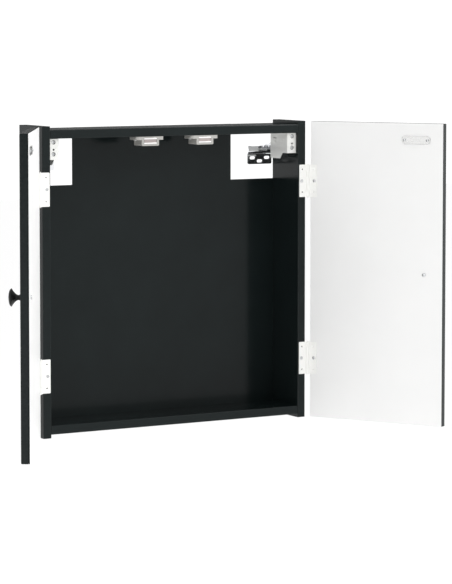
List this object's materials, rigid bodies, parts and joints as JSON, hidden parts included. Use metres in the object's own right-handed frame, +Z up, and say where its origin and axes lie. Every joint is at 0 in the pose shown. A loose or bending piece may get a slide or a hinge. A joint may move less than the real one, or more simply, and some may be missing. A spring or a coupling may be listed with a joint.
{
  "type": "mirrored wall cabinet",
  "caption": "Two-door black wall cabinet with bevelled mirrors on the doors' outer faces, butt hinges, mushroom knobs, magnetic catches and adjustable wall hangers.",
  "frame": {"origin": "middle of the back panel's rear face, which lies against the wall", "axes": "+Y into the wall, so the doors are at -Y; +Z up; +X to the right of a person facing the cabinet"},
  "size_m": [1.0062, 0.3842, 0.64],
  "materials": {
    "black_board": "black painted board, satin",
    "white_liner": "white laminate, satin",
    "mirror_glass": "silvered glass with a ground border",
    "black_knob": "satin black",
    "white_steel": "white painted steel",
    "screw_steel": "zinc plated",
    "catch_plastic": "grey plastic",
    "magnet": "plated pole pieces and magnet",
    "zinc_sheet": "zinc plated sheet",
    "chrome_sheet": "bright plated sheet"
  },
  "bodies": {
    "cabinet_case": {"left_side_panel": "black_board", "right_side_panel": "black_board", "top_panel": "black_board", "bottom_panel": "black_board", "back_panel": "black_board", "left_catch_housing": "catch_plastic", "left_catch_magnet": "magnet", "left_catch_inner_screw": "screw_steel", "left_catch_outer_screw": "screw_steel", "left_hanger_housing": "zinc_sheet", "left_upper_hinge_case_leaf": "white_steel", "left_upper_hinge_pin": "white_steel", "left_upper_hinge_case_screw": "screw_steel", "left_lower_hinge_case_leaf": "white_steel", "left_lower_hinge_pin": "white_steel", "left_lower_hinge_case_screw": "screw_steel", "right_catch_housing": "catch_plastic", "right_catch_magnet": "magnet", "right_catch_inner_screw": "screw_steel", "right_catch_outer_screw": "screw_steel", "right_hanger_housing": "zinc_sheet", "right_upper_hinge_case_leaf": "white_steel", "right_upper_hinge_pin": "white_steel", "right_upper_hinge_case_screw": "screw_steel", "right_lower_hinge_case_leaf": "white_steel", "right_lower_hinge_pin": "white_steel", "right_lower_hinge_case_screw": "screw_steel"},
    "left_door": {"left_door_board": "black_board", "left_mirror": "mirror_glass", "left_door_liner": "white_liner", "left_knob": "black_knob", "left_knob_screw": "screw_steel", "left_strike_plate": "zinc_sheet", "left_strike_inner_screw": "screw_steel", "left_strike_outer_screw": "screw_steel", "left_upper_hinge_door_leaf": "white_steel", "left_upper_hinge_door_screw": "screw_steel", "left_lower_hinge_door_leaf": "white_steel", "left_lower_hinge_door_screw": "screw_steel"},
    "left_depth_adjuster": {"left_depth_screw": "screw_steel"},
    "left_hook_and_plate": {"left_hook": "chrome_sheet", "left_wall_plate": "chrome_sheet"},
    "left_height_adjuster": {"left_height_screw": "screw_steel"},
    "right_door": {"right_door_board": "black_board", "right_mirror": "mirror_glass", "right_door_liner": "white_liner", "right_knob": "black_knob", "right_knob_screw": "screw_steel", "right_strike_plate": "zinc_sheet", "right_strike_inner_screw": "screw_steel", "right_strike_outer_screw": "screw_steel", "right_upper_hinge_door_leaf": "white_steel", "right_upper_hinge_door_screw": "screw_steel", "right_lower_hinge_door_leaf": "white_steel", "right_lower_hinge_door_screw": "screw_steel"},
    "right_depth_adjuster": {"right_depth_screw": "screw_steel"},
    "right_hook_and_plate": {"right_hook": "chrome_sheet", "right_wall_plate": "chrome_sheet"},
    "right_height_adjuster": {"right_height_screw": "screw_steel"}
  },
  "joints": [
    {"name": "left_door_hinge", "type": "hinge", "parent": "cabinet_case", "child": "left_door", "pos_m": [-0.3204, -0.1111, 0], "axis": [0, 0, -1], "range_deg": [-120.3, 59.7]},
    {"name": "left_hook_depth", "type": "slide", "parent": "cabinet_case", "child": "left_depth_adjuster", "axis": [0, 1, 0], "range_m": [0, 0.004]},
    {"name": "left_hook_height", "type": "slide", "parent": "left_depth_adjuster", "child": "left_hook_and_plate", "axis": [0, 0, 1], "range_m": [-0.003, 0.003]},
    {"name": "left_height_screw_turn", "type": "hinge", "parent": "cabinet_case", "child": "left_height_adjuster", "pos_m": [-0.2857, -0.1021, 0.2869], "axis": [0, 1, 0], "range_deg": [-725, 725]},
    {"name": "right_door_hinge", "type": "hinge", "parent": "cabinet_case", "child": "right_door", "pos_m": [0.3204, -0.1111, 0], "axis": [0, 0, 1], "range_deg": [-120.3, 59.7]},
    {"name": "right_hook_depth", "type": "slide", "parent": "cabinet_case", "child": "right_depth_adjuster", "axis": [0, 1, 0], "range_m": [0, 0.004]},
    {"name": "right_hook_height", "type": "slide", "parent": "right_depth_adjuster", "child": "right_hook_and_plate", "axis": [0, 0, 1], "range_m": [-0.003, 0.003]},
    {"name": "right_height_screw_turn", "type": "hinge", "parent": "cabinet_case", "child": "right_height_adjuster", "pos_m": [0.2857, -0.1021, 0.2869], "axis": [0, 1, 0], "range_deg": [-725, 725]}
  ],
  "couplings": [
    {"joint": "left_height_screw_turn", "follows": "left_hook_height", "rad_per_m": 4188.8},
    {"joint": "right_height_screw_turn", "follows": "right_hook_height", "rad_per_m": 4188.8}
  ]
}
